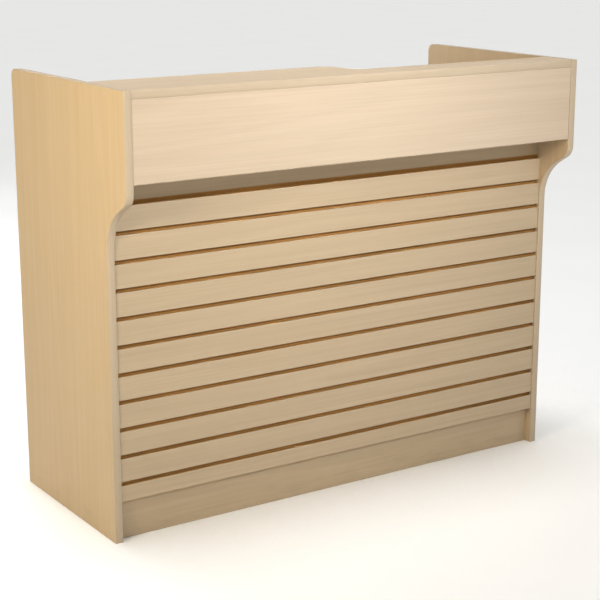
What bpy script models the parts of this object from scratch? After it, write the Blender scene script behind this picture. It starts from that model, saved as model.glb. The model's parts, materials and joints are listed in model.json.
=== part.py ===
"""Ledge-top checkout counter with a slatwall front.

Metres, +Z up, floor at Z = 0, customer side towards -Y, operator side towards +Y.
The origin is the middle of the footprint of the whole counter.
"""

import math

import bmesh
import bpy
from mathutils import Vector

# driving dimensions of the carcass
WIDTH = 1.306
HEIGHT = 1.0668
LOWER_DEPTH = 0.490
LEDGE_OVERHANG = 0.1016
BOARD = 0.01905
THIN_BOARD = 0.0127
GAP = 0.0003
EDGE_RADIUS = 0.0008
KICK_HEIGHT = 0.099
KICK_RECESS = 0.022
TOE_SPACE = 0.075
WORKTOP_HEIGHT = 0.8636
FASCIA_BOTTOM = 0.8618
FACE_INSET = 0.001

# front outline of an end panel: a tight nose under the ledge, then a wide hollow
NOSE_RADIUS = 0.0365
NOSE_CENTRE_HEIGHT = 0.8435
HOLLOW_RADIUS = 0.1175
HOLLOW_CENTRE_HEIGHT = 0.695
REAR_CORNER_RADIUS = 0.019

# slatwall
SLAT_INSET = 0.003
GROOVES = 11
GROOVE_PITCH = 0.066
LOWEST_GROOVE = 0.143
GROOVE_MOUTH = 0.0095
GROOVE_TEE = 0.022
GROOVE_LIP = 0.0055
GROOVE_DEPTH = 0.012
RAIL_RECESS = 0.009

# cut-out in the rear edge of the ledge
LEDGE_STEP = 0.108
STEP_RADIUS = 0.038
STEP_START_X = -0.019

# shelves, pins and the rows of pin holes
SHELF_HEIGHTS = {"left": 0.385, "right": 0.470}
SHELF_DEPTH = 0.400
SHELF_PLAY = 0.0015
PIN_RADIUS = 0.0025
PIN_HOLE_RADIUS = 0.0029
PIN_HOLE_DEPTH = 0.011
PIN_LENGTH = 0.009
PIN_ROW_STEP = 0.032
PIN_ROWS = 2
PIN_SIDES = 8

# drawer
DRAWER_FACE_SETBACK = 0.034
DRAWER_FRONT_HEIGHT = 0.150
DRAWER_REVEAL = 0.002
DRAWER_TOP_REVEAL = 0.003
DRAWER_BOX_DEPTH = 0.372
DRAWER_BOX_HEIGHT = 0.100
DRAWER_BOX_BOTTOM = 0.702
DRAWER_BOTTOM_THICKNESS = 0.006
DRAWER_BOTTOM_LIFT = 0.010
SLIDE_THICKNESS = 0.0127
SLIDE_LENGTH = 0.350
SLIDE_METAL = 0.0012
PULL_CENTRES = 0.096
PULL_PROJECTION = 0.028
PULL_RADIUS = 0.004
PULL_BEND = 0.010

# cam lock
LOCK_HEIGHT = 0.8225
LOCK_RADIUS = 0.0092
LOCK_BORE_RADIUS = 0.0098
LOCK_FLANGE_RADIUS = 0.0115
LOCK_PLUG_RADIUS = 0.0060
LOCK_PLUG_BORE = 0.0064
LOCK_LENGTH = 0.0330
LOCK_NUT_THICKNESS = 0.0025
LOCK_NUT_WALL = 0.0030
CAM_REACH = 0.020
CAM_HALF_WIDTH = 0.0065
CAM_THICKNESS = 0.002

# cable grommet
GROMMET_X = 0.350
GROMMET_Y = -0.120
GROMMET_HOLE_RADIUS = 0.0305
GROMMET_WALL = 0.0022
GROMMET_FLANGE_RADIUS = 0.0350
GROMMET_FLANGE = 0.0025
GROMMET_NOTCH = 0.011

# steel angle brackets and their screws
BRACKET_LEG = 0.028
BRACKET_METAL = 0.002
BRACKET_WIDTH = 0.018
SCREW_HEAD_RADIUS = 0.0042
SCREW_HEAD_HEIGHT = 0.0022
SCREW_SHANK_RADIUS = 0.0018
SCREW_HOLE_RADIUS = 0.0023

# planes that follow from the driving dimensions
UPPER_FRONT_Y = -(LOWER_DEPTH + LEDGE_OVERHANG) / 2
LOWER_FRONT_Y = UPPER_FRONT_Y + LEDGE_OVERHANG
REAR_Y = -UPPER_FRONT_Y
INNER_X = WIDTH / 2 - BOARD
CLEAR_X = INNER_X - GAP
SLAT_FACE_Y = LOWER_FRONT_Y + SLAT_INSET
SLAT_BACK_Y = SLAT_FACE_Y + BOARD
TOP_GROOVE = LOWEST_GROOVE + (GROOVES - 1) * GROOVE_PITCH
SLAT_TOP = TOP_GROOVE + GROOVE_MOUTH / 2
RAIL_FACE_Y = SLAT_FACE_Y + RAIL_RECESS
RAIL_BACK_Y = RAIL_FACE_Y + BOARD
LEDGE_UNDERSIDE = HEIGHT - BOARD
FASCIA_FACE_Y = UPPER_FRONT_Y + FACE_INSET
FASCIA_BACK_Y = FASCIA_FACE_Y + BOARD
NARROW_LEDGE_Y = LOWER_FRONT_Y
DEEP_LEDGE_Y = LOWER_FRONT_Y + LEDGE_STEP
RISER_BACK_Y = NARROW_LEDGE_Y - FACE_INSET
RISER_FRONT_Y = RISER_BACK_Y - BOARD
WORKTOP_UNDERSIDE = WORKTOP_HEIGHT - BOARD
DECK_TOP = KICK_HEIGHT + BOARD
OPERATOR_EDGE_Y = REAR_Y - FACE_INSET
DIVIDER_X = BOARD / 2
SHELF_FRONT_Y = SLAT_BACK_Y + 0.012
SHELF_REAR_Y = SHELF_FRONT_Y + SHELF_DEPTH
PIN_COLUMNS = (SHELF_FRONT_Y + 0.045, SHELF_REAR_Y - 0.045)
DRAWER_FACE_Y = REAR_Y - DRAWER_FACE_SETBACK
DRAWER_FRONT_BACK_Y = DRAWER_FACE_Y - BOARD
DRAWER_BOX_REAR_Y = DRAWER_FRONT_BACK_Y - GAP
DRAWER_BOX_FRONT_Y = DRAWER_BOX_REAR_Y - DRAWER_BOX_DEPTH
DRAWER_LEFT_X = -INNER_X + SLIDE_THICKNESS
DRAWER_RIGHT_X = -DIVIDER_X - SLIDE_THICKNESS
DRAWER_MIDDLE_X = (DRAWER_LEFT_X + DRAWER_RIGHT_X) / 2
SLIDE_HEIGHT = DRAWER_BOX_BOTTOM + DRAWER_BOX_HEIGHT / 2
SLIDE_START_Y = DRAWER_BOX_REAR_Y - SLIDE_LENGTH
LOCK_BACK_Y = DRAWER_FACE_Y - LOCK_LENGTH

# colour, roughness and metallic value of each finish
FINISHES = {
    "maple": ((0.76, 0.58, 0.39), 0.42, 0.0),
    "slatwall": ((0.66, 0.50, 0.33), 0.45, 0.0),
    "drawer_wood": ((0.78, 0.64, 0.46), 0.50, 0.0),
    "batten": ((0.70, 0.54, 0.34), 0.70, 0.0),
    "zinc": ((0.62, 0.63, 0.64), 0.35, 1.0),
    "nickel": ((0.70, 0.69, 0.66), 0.28, 1.0),
    "black_plastic": ((0.03, 0.03, 0.03), 0.45, 0.0),
}


def clear_scene():
    for item in list(bpy.data.objects):
        bpy.data.objects.remove(item, do_unlink=True)


def make_material(name, finish):
    colour, roughness, metallic = FINISHES[finish]
    material = bpy.data.materials.new(name + "_" + finish)
    material.use_nodes = True
    shader = material.node_tree.nodes["Principled BSDF"]
    shader.inputs["Base Color"].default_value = (*colour, 1.0)
    shader.inputs["Roughness"].default_value = roughness
    shader.inputs["Metallic"].default_value = metallic
    return material


def place(name, bm, location, finish=None, parent=None):
    """Turn a bmesh into an object whose origin is at location."""
    bmesh.ops.recalc_face_normals(bm, faces=bm.faces[:])
    mesh = bpy.data.meshes.new(name)
    bm.to_mesh(mesh)
    bm.free()
    item = bpy.data.objects.new(name, mesh)
    bpy.context.scene.collection.objects.link(item)
    item.location = location
    if parent:
        item.parent = parent
        item.location = Vector(location) - parent.location
    if finish:
        mesh.materials.append(make_material(name, finish))
    return item


def round_edges(item, width=EDGE_RADIUS, segments=2):
    bevel = item.modifiers.new("rounded edges", "BEVEL")
    bevel.width = width
    bevel.segments = segments
    bevel.limit_method = "ANGLE"
    bevel.angle_limit = math.radians(40)


def smooth_round_faces(item):
    item.data.shade_smooth()
    item.data.set_sharp_from_angle(angle=math.radians(35))


def joint_origin(name, location):
    """An empty on a joint's axis, which carries the pieces that move on it."""
    empty = bpy.data.objects.new(name, None)
    bpy.context.scene.collection.objects.link(empty)
    empty.location = location
    return empty


def board(name, low, high, finish="maple", parent=None):
    """A plain rectangular board between two corners."""
    low = Vector(low)
    high = Vector(high)
    bm = bmesh.new()
    bmesh.ops.create_cube(bm, size=1.0)
    bmesh.ops.scale(bm, vec=high - low, verts=bm.verts[:])
    item = place(name, bm, (low + high) / 2, finish, parent)
    round_edges(item)
    return item


def extruded(outline, axis, start, end):
    """A bmesh of an outline pushed along an axis.

    The outline's pairs are the other two axes in X, Y, Z order.
    """
    bm = bmesh.new()
    corners = []
    for first, second in outline:
        spot = {"X": (start, first, second), "Y": (first, start, second), "Z": (first, second, start)}[axis]
        corners.append(bm.verts.new(spot))
    face = bm.faces.new(corners)
    grown = bmesh.ops.extrude_face_region(bm, geom=[face])
    moved = [piece for piece in grown["geom"] if isinstance(piece, bmesh.types.BMVert)]
    push = {"X": (end - start, 0, 0), "Y": (0, end - start, 0), "Z": (0, 0, end - start)}[axis]
    bmesh.ops.translate(bm, vec=push, verts=moved)
    return bm


def add_turned(bm, profile, sides, axis, centre):
    """Add a solid of revolution to a bmesh.

    The profile's pairs are (distance along the axis, radius), from one end to the other.
    """
    rings = []
    for along, radius in profile:
        ring = []
        for step in range(sides):
            angle = 2 * math.pi * (step + 0.5) / sides
            across = radius * math.cos(angle)
            up = radius * math.sin(angle)
            spot = {"X": (along, across, up), "Y": (across, along, up), "Z": (across, up, along)}[axis]
            ring.append(bm.verts.new(Vector(centre) + Vector(spot)))
        rings.append(ring)
    bm.faces.new(rings[0])
    bm.faces.new(rings[-1])
    for near, far in zip(rings, rings[1:]):
        for step in range(sides):
            after = (step + 1) % sides
            bm.faces.new((near[step], near[after], far[after], far[step]))


def add_tube(bm, profile, sides, axis, centre):
    """Add a ring-shaped solid: the profile is a closed loop of (along, radius) pairs."""
    rings = []
    for along, radius in profile:
        ring = []
        for step in range(sides):
            angle = 2 * math.pi * (step + 0.5) / sides
            across = radius * math.cos(angle)
            up = radius * math.sin(angle)
            spot = {"X": (along, across, up), "Y": (across, along, up), "Z": (across, up, along)}[axis]
            ring.append(bm.verts.new(Vector(centre) + Vector(spot)))
        rings.append(ring)
    for near, far in zip(rings, rings[1:] + rings[:1]):
        for step in range(sides):
            after = (step + 1) % sides
            bm.faces.new((near[step], near[after], far[after], far[step]))


def cylinder(bm, radius, low, high, sides, axis, centre):
    add_turned(bm, [(low, radius), (high, radius)], sides, axis, centre)


def cut(item, name, bm):
    """Cut a bmesh out of an object; the cutter stays as a hidden wire guide."""
    cutter = place(name, bm, (0, 0, 0))
    cutter.hide_render = True
    cutter.display_type = "WIRE"
    boolean = item.modifiers.new(name, "BOOLEAN")
    boolean.operation = "DIFFERENCE"
    boolean.solver = "EXACT"
    boolean.object = cutter


def arc(centre, radius, start, end, steps):
    """Points of an arc, both ends included; angles in degrees."""
    points = []
    for step in range(steps + 1):
        angle = math.radians(start + (end - start) * step / steps)
        points.append((centre[0] + radius * math.cos(angle), centre[1] + radius * math.sin(angle)))
    return points


def end_panel_outline():
    """Side view of an end panel: straight foot, hollow, nose, straight ledge end, rounded rear corner."""
    hollow_centre = (LOWER_FRONT_Y - HOLLOW_RADIUS, HOLLOW_CENTRE_HEIGHT)
    nose_centre = (UPPER_FRONT_Y + NOSE_RADIUS, NOSE_CENTRE_HEIGHT)
    across = nose_centre[0] - hollow_centre[0]
    up = nose_centre[1] - hollow_centre[1]
    between = math.hypot(across, up)
    # both arcs end where one straight line touches them
    sweep = math.degrees(math.atan2(up, across) - math.acos((HOLLOW_RADIUS + NOSE_RADIUS) / between))
    corner_centre = (REAR_Y - REAR_CORNER_RADIUS, HEIGHT - REAR_CORNER_RADIUS)
    outline = [(REAR_Y, 0.0), (LOWER_FRONT_Y, 0.0)]
    outline += arc(hollow_centre, HOLLOW_RADIUS, 0, sweep, 12)
    outline += arc(nose_centre, NOSE_RADIUS, 180 + sweep, 180, 10)
    outline.append((UPPER_FRONT_Y, HEIGHT))
    outline += arc(corner_centre, REAR_CORNER_RADIUS, 90, 0, 6)
    return outline


def pin_hole_cutter(side, face_x, into):
    """Rows of blind holes for shelf pins; into is +1 or -1, the way into the board along X."""
    bm = bmesh.new()
    for column in PIN_COLUMNS:
        for row in range(-PIN_ROWS, PIN_ROWS + 1):
            height = SHELF_HEIGHTS[side] - PIN_RADIUS - GAP + row * PIN_ROW_STEP
            ends = sorted((-into * 0.002, into * PIN_HOLE_DEPTH))
            cylinder(bm, PIN_HOLE_RADIUS, ends[0], ends[1], PIN_SIDES, "X", (face_x, column, height))
    return bm


def build_end_panels():
    outline = end_panel_outline()
    left = place("left_end_panel", extruded(outline, "X", 0, BOARD), (-WIDTH / 2, 0, 0), "maple")
    right = place("right_end_panel", extruded(outline, "X", -BOARD, 0), (WIDTH / 2, 0, 0), "maple")
    round_edges(left)
    round_edges(right)
    cut(left, "left_end_pin_holes", pin_hole_cutter("left", -INNER_X, -1))
    cut(right, "right_end_pin_holes", pin_hole_cutter("right", INNER_X, 1))


def slatwall_outline():
    """Cross-section of the slatwall: T-shaped grooves up its face, the top one open above."""
    lip_y = SLAT_FACE_Y + GROOVE_LIP
    deep_y = SLAT_FACE_Y + GROOVE_DEPTH
    outline = [(SLAT_BACK_Y, KICK_HEIGHT), (SLAT_FACE_Y, KICK_HEIGHT)]
    for groove in range(GROOVES):
        middle = LOWEST_GROOVE + groove * GROOVE_PITCH
        outline.append((SLAT_FACE_Y, middle - GROOVE_MOUTH / 2))
        outline.append((lip_y, middle - GROOVE_MOUTH / 2))
        outline.append((lip_y, middle - GROOVE_TEE / 2))
        outline.append((deep_y, middle - GROOVE_TEE / 2))
        if groove < GROOVES - 1:
            outline.append((deep_y, middle + GROOVE_TEE / 2))
            outline.append((lip_y, middle + GROOVE_TEE / 2))
            outline.append((lip_y, middle + GROOVE_MOUTH / 2))
            outline.append((SLAT_FACE_Y, middle + GROOVE_MOUTH / 2))
    outline.append((deep_y, SLAT_TOP))
    outline.append((SLAT_BACK_Y, SLAT_TOP))
    return outline


def build_front():
    place("slatwall_panel", extruded(slatwall_outline(), "X", -CLEAR_X, CLEAR_X), (0, 0, 0), "slatwall")
    board(
        "upper_front_rail",
        (-CLEAR_X, RAIL_FACE_Y, SLAT_TOP + GAP),
        (CLEAR_X, RAIL_BACK_Y, WORKTOP_UNDERSIDE - GAP),
    )
    board(
        "front_kick_board",
        (-CLEAR_X, LOWER_FRONT_Y + KICK_RECESS, 0),
        (CLEAR_X, LOWER_FRONT_Y + KICK_RECESS + BOARD, KICK_HEIGHT - GAP),
    )


def ledge_outline():
    """Plan of the ledge top: deep at the left, stepping in with an S-curve to a narrow right half."""
    far_x = STEP_START_X + 2 * STEP_RADIUS
    outer_centre = (STEP_START_X, DEEP_LEDGE_Y - STEP_RADIUS)
    inner_centre = (far_x, NARROW_LEDGE_Y + STEP_RADIUS)
    outline = [(-CLEAR_X, FASCIA_FACE_Y), (CLEAR_X, FASCIA_FACE_Y), (CLEAR_X, NARROW_LEDGE_Y)]
    outline += arc(inner_centre, STEP_RADIUS, 270, 180, 8)
    outline += arc(outer_centre, STEP_RADIUS, 0, 90, 8)
    outline.append((-CLEAR_X, DEEP_LEDGE_Y))
    return outline


def build_ledge():
    top = place("ledge_top", extruded(ledge_outline(), "Z", 0, BOARD), (0, 0, LEDGE_UNDERSIDE), "maple")
    round_edges(top)
    board(
        "ledge_fascia",
        (-CLEAR_X, FASCIA_FACE_Y, FASCIA_BOTTOM),
        (CLEAR_X, FASCIA_BACK_Y, LEDGE_UNDERSIDE - GAP),
    )
    board(
        "ledge_riser",
        (-CLEAR_X, RISER_FRONT_Y, WORKTOP_HEIGHT + GAP),
        (CLEAR_X, RISER_BACK_Y, LEDGE_UNDERSIDE - GAP),
    )
    board(
        "ledge_soffit",
        (-CLEAR_X, FASCIA_BACK_Y + GAP, WORKTOP_HEIGHT + GAP),
        (CLEAR_X, RISER_FRONT_Y - GAP, WORKTOP_HEIGHT + GAP + THIN_BOARD),
    )
    board(
        "ledge_support",
        (STEP_START_X - BOARD, RISER_BACK_Y + GAP, WORKTOP_HEIGHT + GAP),
        (STEP_START_X, DEEP_LEDGE_Y - 0.012, LEDGE_UNDERSIDE - GAP),
    )
    board(
        "fascia_cleat",
        (-CLEAR_X + 0.03, FASCIA_BACK_Y + GAP, LEDGE_UNDERSIDE - GAP - BOARD),
        (CLEAR_X - 0.03, FASCIA_BACK_Y + GAP + BOARD, LEDGE_UNDERSIDE - GAP),
        "batten",
    )
    board(
        "riser_cleat",
        (-CLEAR_X + 0.03, RISER_FRONT_Y - GAP - BOARD, LEDGE_UNDERSIDE - GAP - BOARD),
        (CLEAR_X - 0.03, RISER_FRONT_Y - GAP, LEDGE_UNDERSIDE - GAP),
        "batten",
    )


def build_worktop():
    top = board(
        "worktop",
        (-CLEAR_X, RISER_FRONT_Y, WORKTOP_UNDERSIDE),
        (CLEAR_X, OPERATOR_EDGE_Y, WORKTOP_HEIGHT),
    )
    bm = bmesh.new()
    hole = (GROMMET_X, GROMMET_Y, 0)
    cylinder(bm, GROMMET_HOLE_RADIUS, WORKTOP_UNDERSIDE - 0.01, WORKTOP_HEIGHT + 0.01, 32, "Z", hole)
    cut(top, "grommet_hole", bm)


def divider_outline():
    """Side view of the divider, notched at its top front corner for the upper front rail."""
    low = DECK_TOP + GAP
    high = WORKTOP_UNDERSIDE - GAP
    front = SLAT_BACK_Y + GAP
    notch = RAIL_BACK_Y + GAP
    return [
        (front, low),
        (OPERATOR_EDGE_Y, low),
        (OPERATOR_EDGE_Y, high),
        (notch, high),
        (notch, SLAT_TOP),
        (front, SLAT_TOP),
    ]


def build_carcass():
    board(
        "base_deck",
        (-CLEAR_X, SLAT_BACK_Y + GAP, KICK_HEIGHT),
        (CLEAR_X, OPERATOR_EDGE_Y, DECK_TOP),
    )
    board(
        "rear_kick_board",
        (-CLEAR_X, REAR_Y - TOE_SPACE - BOARD, 0),
        (CLEAR_X, REAR_Y - TOE_SPACE, KICK_HEIGHT - GAP),
    )
    bm = extruded(divider_outline(), "X", -DIVIDER_X, DIVIDER_X)
    divider = place("bay_divider", bm, (0, 0, 0), "maple")
    round_edges(divider)
    cut(divider, "divider_left_pin_holes", pin_hole_cutter("left", -DIVIDER_X, 1))
    cut(divider, "divider_right_pin_holes", pin_hole_cutter("right", DIVIDER_X, -1))


def build_shelf(side, low_x, high_x):
    """An adjustable shelf and the four pins that it lies on."""
    height = SHELF_HEIGHTS[side]
    board(
        side + "_shelf",
        (low_x + SHELF_PLAY, SHELF_FRONT_Y, height),
        (high_x - SHELF_PLAY, SHELF_REAR_Y, height + BOARD),
    )
    number = 0
    for wall_x, inwards in ((low_x, 1), (high_x, -1)):
        for column in PIN_COLUMNS:
            number += 1
            pin = bmesh.new()
            ends = sorted((-inwards * (PIN_HOLE_DEPTH - 0.001), inwards * PIN_LENGTH))
            cylinder(pin, PIN_RADIUS, ends[0], ends[1], PIN_SIDES, "X", (0, 0, 0))
            centre = (wall_x, column, height - PIN_RADIUS - GAP)
            smooth_round_faces(place(f"{side}_shelf_pin_{number}", pin, centre, "zinc"))


def bracket_places():
    """Corner, direction of the wall leg along Z and direction of the flat leg along X."""
    places = []
    for column in (-0.08, 0.20):
        for wall_x, inwards in ((-CLEAR_X, 1), (CLEAR_X, -1)):
            places.append(((wall_x, column, DECK_TOP + GAP), 1, inwards))
    for column in (-0.10, 0.20):
        places.append(((CLEAR_X, column, WORKTOP_UNDERSIDE - GAP), -1, -1))
        places.append(((DIVIDER_X + GAP, column, WORKTOP_UNDERSIDE - GAP), -1, 1))
    return places


def build_brackets():
    """Steel angles that hold the boards together, with a screw hole through each leg."""
    middle = BRACKET_LEG * 0.62
    for number, (corner, up, inwards) in enumerate(bracket_places(), start=1):
        outline = [
            (0, 0),
            (inwards * BRACKET_LEG, 0),
            (inwards * BRACKET_LEG, up * BRACKET_METAL),
            (inwards * BRACKET_METAL, up * BRACKET_METAL),
            (inwards * BRACKET_METAL, up * BRACKET_LEG),
            (0, up * BRACKET_LEG),
        ]
        name = f"corner_bracket_{number}"
        bracket = place(name, extruded(outline, "Y", -BRACKET_WIDTH / 2, BRACKET_WIDTH / 2), corner, "zinc")
        x, y, z = corner
        holes = bmesh.new()
        cylinder(holes, SCREW_HOLE_RADIUS, -0.006, 0.006, PIN_SIDES, "X", (x, y, z + up * middle))
        cylinder(holes, SCREW_HOLE_RADIUS, -0.006, 0.006, PIN_SIDES, "Z", (x + inwards * middle, y, z))
        cut(bracket, name + "_holes", holes)


def build_grommet():
    """Cable grommet: a flanged sleeve in the worktop and a notched cap that turns in it."""
    centre = (GROMMET_X, GROMMET_Y, WORKTOP_HEIGHT)
    outer = GROMMET_HOLE_RADIUS - 0.0006
    inner = outer - GROMMET_WALL
    seat = inner - 0.0025
    sleeve = bmesh.new()
    profile = [
        (-0.0235, outer),
        (GAP, outer),
        (GAP, GROMMET_FLANGE_RADIUS),
        (GAP + GROMMET_FLANGE * 0.4, GROMMET_FLANGE_RADIUS),
        (GAP + GROMMET_FLANGE, GROMMET_FLANGE_RADIUS - 0.0020),
        (GAP + GROMMET_FLANGE, inner),
        (-0.0030, inner),
        (-0.0030, seat),
        (-0.0050, seat),
        (-0.0050, inner),
        (-0.0235, inner),
    ]
    add_tube(sleeve, profile, 32, "Z", (0, 0, 0))
    smooth_round_faces(place("grommet_sleeve", sleeve, centre, "black_plastic"))
    cap = bmesh.new()
    rim = inner - 0.0005
    lid_profile = [(-0.0027, rim), (0.0016, rim), (0.0024, rim - 0.0008)]
    add_turned(cap, lid_profile, 32, "Z", (0, 0, 0))
    lid = place("grommet_cap", cap, (0, 0, 0), "black_plastic", joint_origin("grommet_axis", centre))
    lid.location = (0, 0, 0)
    notch = bmesh.new()
    notch_centre = (GROMMET_X, GROMMET_Y - rim, WORKTOP_HEIGHT)
    cylinder(notch, GROMMET_NOTCH, -0.01, 0.01, 20, "Z", notch_centre)
    cut(lid, "grommet_notch", notch)
    smooth_round_faces(lid)


def channel_outline(wall_x, inwards, web, lips, half_height):
    """C-shaped cross-section: a web at one distance from the wall and two lips reaching to another."""
    way = 1 if lips > web else -1
    web_face = web + way * SLIDE_METAL
    points = [
        (web, -half_height),
        (lips, -half_height),
        (lips, -half_height + SLIDE_METAL),
        (web_face, -half_height + SLIDE_METAL),
        (web_face, half_height - SLIDE_METAL),
        (lips, half_height - SLIDE_METAL),
        (lips, half_height),
        (web, half_height),
    ]
    return [(wall_x + inwards * across, SLIDE_HEIGHT + up) for across, up in points]


def build_slides(drawer, middle):
    """Ball-bearing slides: three nested channels a side, on the wall, in between and on the drawer."""
    members = (
        ("slide_outer", GAP, 0.0105, 0.0228, None),
        ("slide_middle", 0.0035, 0.0108, 0.0195, middle),
        ("slide_inner", 0.0124, 0.0062, 0.0160, drawer),
    )
    for side, wall_x, inwards in (("left", -INNER_X, 1), ("right", -DIVIDER_X, -1)):
        for member, web, lips, half_height, parent in members:
            outline = channel_outline(wall_x, inwards, web, lips, half_height)
            bm = extruded(outline, "Y", SLIDE_START_Y, SLIDE_START_Y + SLIDE_LENGTH)
            name = member + "_" + side
            if parent:
                place(name, moved_to(bm, parent.location), parent.location, "zinc", parent)
            else:
                place(name, bm, (0, 0, 0), "zinc")


def moved_to(bm, origin):
    """Shift a bmesh so that the given world point becomes its own origin."""
    bmesh.ops.translate(bm, vec=-Vector(origin), verts=bm.verts[:])
    return bm


def build_drawer_box(drawer):
    inner_left = DRAWER_LEFT_X + THIN_BOARD + GAP
    inner_right = DRAWER_RIGHT_X - THIN_BOARD - GAP
    low = DRAWER_BOX_BOTTOM
    high = DRAWER_BOX_BOTTOM + DRAWER_BOX_HEIGHT
    board(
        "drawer_side_left",
        (DRAWER_LEFT_X, DRAWER_BOX_FRONT_Y, low),
        (DRAWER_LEFT_X + THIN_BOARD, DRAWER_BOX_REAR_Y, high),
        "drawer_wood",
        drawer,
    )
    board(
        "drawer_side_right",
        (DRAWER_RIGHT_X - THIN_BOARD, DRAWER_BOX_FRONT_Y, low),
        (DRAWER_RIGHT_X, DRAWER_BOX_REAR_Y, high),
        "drawer_wood",
        drawer,
    )
    board(
        "drawer_back",
        (inner_left, DRAWER_BOX_FRONT_Y, low),
        (inner_right, DRAWER_BOX_FRONT_Y + THIN_BOARD, high),
        "drawer_wood",
        drawer,
    )
    box_front = board(
        "drawer_box_front",
        (inner_left, DRAWER_BOX_REAR_Y - THIN_BOARD, low),
        (inner_right, DRAWER_BOX_REAR_Y, high),
        "drawer_wood",
        drawer,
    )
    board(
        "drawer_bottom",
        (inner_left, DRAWER_BOX_FRONT_Y + THIN_BOARD + GAP, low + DRAWER_BOTTOM_LIFT),
        (
            inner_right,
            DRAWER_BOX_REAR_Y - THIN_BOARD - GAP,
            low + DRAWER_BOTTOM_LIFT + DRAWER_BOTTOM_THICKNESS,
        ),
        "drawer_wood",
        drawer,
    )
    return box_front


def pull_screw_spots():
    height = DRAWER_BOX_BOTTOM + DRAWER_BOX_HEIGHT * 0.6
    return [(DRAWER_MIDDLE_X + side * PULL_CENTRES / 2, 0, height) for side in (-1, 1)]


def pull_screw_bores():
    bm = bmesh.new()
    for spot in pull_screw_spots():
        low = DRAWER_BOX_REAR_Y - THIN_BOARD - 0.01
        cylinder(bm, SCREW_HOLE_RADIUS, low, DRAWER_FACE_Y + 0.01, PIN_SIDES, "Y", spot)
    return bm


def build_drawer_front(drawer, box_front):
    front = board(
        "drawer_front",
        (
            -INNER_X + DRAWER_REVEAL,
            DRAWER_FRONT_BACK_Y,
            WORKTOP_UNDERSIDE - DRAWER_TOP_REVEAL - DRAWER_FRONT_HEIGHT,
        ),
        (-DIVIDER_X - DRAWER_REVEAL, DRAWER_FACE_Y, WORKTOP_UNDERSIDE - DRAWER_TOP_REVEAL),
        "maple",
        drawer,
    )
    lock_bore = bmesh.new()
    lock_spot = (DRAWER_MIDDLE_X, 0, LOCK_HEIGHT)
    bore_start = DRAWER_FRONT_BACK_Y - 0.01
    bore_end = DRAWER_FACE_Y + 0.01
    cylinder(lock_bore, LOCK_BORE_RADIUS, bore_start, bore_end, 24, "Y", lock_spot)
    cut(front, "lock_bore", lock_bore)
    cut(front, "pull_bores_front", pull_screw_bores())
    cut(box_front, "pull_bores_box", pull_screw_bores())


def build_pull(drawer):
    """Wire pull: one rod bent twice, standing on the drawer front, with a screw into each end."""
    height = pull_screw_spots()[0][2]
    half = PULL_CENTRES / 2
    foot = DRAWER_FACE_Y + GAP
    bar = DRAWER_FACE_Y + PULL_PROJECTION - PULL_RADIUS
    route = [(-half, foot)]
    route += arc((-half + PULL_BEND, bar - PULL_BEND), PULL_BEND, 180, 90, 6)
    route += arc((half - PULL_BEND, bar - PULL_BEND), PULL_BEND, 90, 0, 6)
    route.append((half, foot))
    curve = bpy.data.curves.new("drawer_pull", "CURVE")
    curve.dimensions = "3D"
    curve.bevel_depth = PULL_RADIUS
    curve.bevel_resolution = 3
    curve.use_fill_caps = True
    spline = curve.splines.new("POLY")
    spline.points.add(len(route) - 1)
    for point, (across, out) in zip(spline.points, route):
        point.co = (across, out - DRAWER_FACE_Y, 0, 1)
    item = bpy.data.objects.new("drawer_pull", curve)
    bpy.context.scene.collection.objects.link(item)
    item.parent = drawer
    item.location = Vector((DRAWER_MIDDLE_X, DRAWER_FACE_Y, height)) - drawer.location
    curve.materials.append(make_material("drawer_pull", "nickel"))
    seat = DRAWER_BOX_REAR_Y - THIN_BOARD - GAP - DRAWER_FACE_Y
    profile = [
        (0, SCREW_SHANK_RADIUS),
        (seat, SCREW_SHANK_RADIUS),
        (seat, SCREW_HEAD_RADIUS),
        (seat - SCREW_HEAD_HEIGHT * 0.5, SCREW_HEAD_RADIUS),
        (seat - SCREW_HEAD_HEIGHT, SCREW_HEAD_RADIUS * 0.6),
    ]
    for name, spot in zip(("pull_screw_left", "pull_screw_right"), pull_screw_spots()):
        screw = bmesh.new()
        add_turned(screw, profile, PIN_SIDES, "Y", (0, 0, 0))
        origin = (spot[0], DRAWER_FACE_Y, spot[2])
        smooth_round_faces(place(name, screw, origin, "zinc", drawer))


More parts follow.
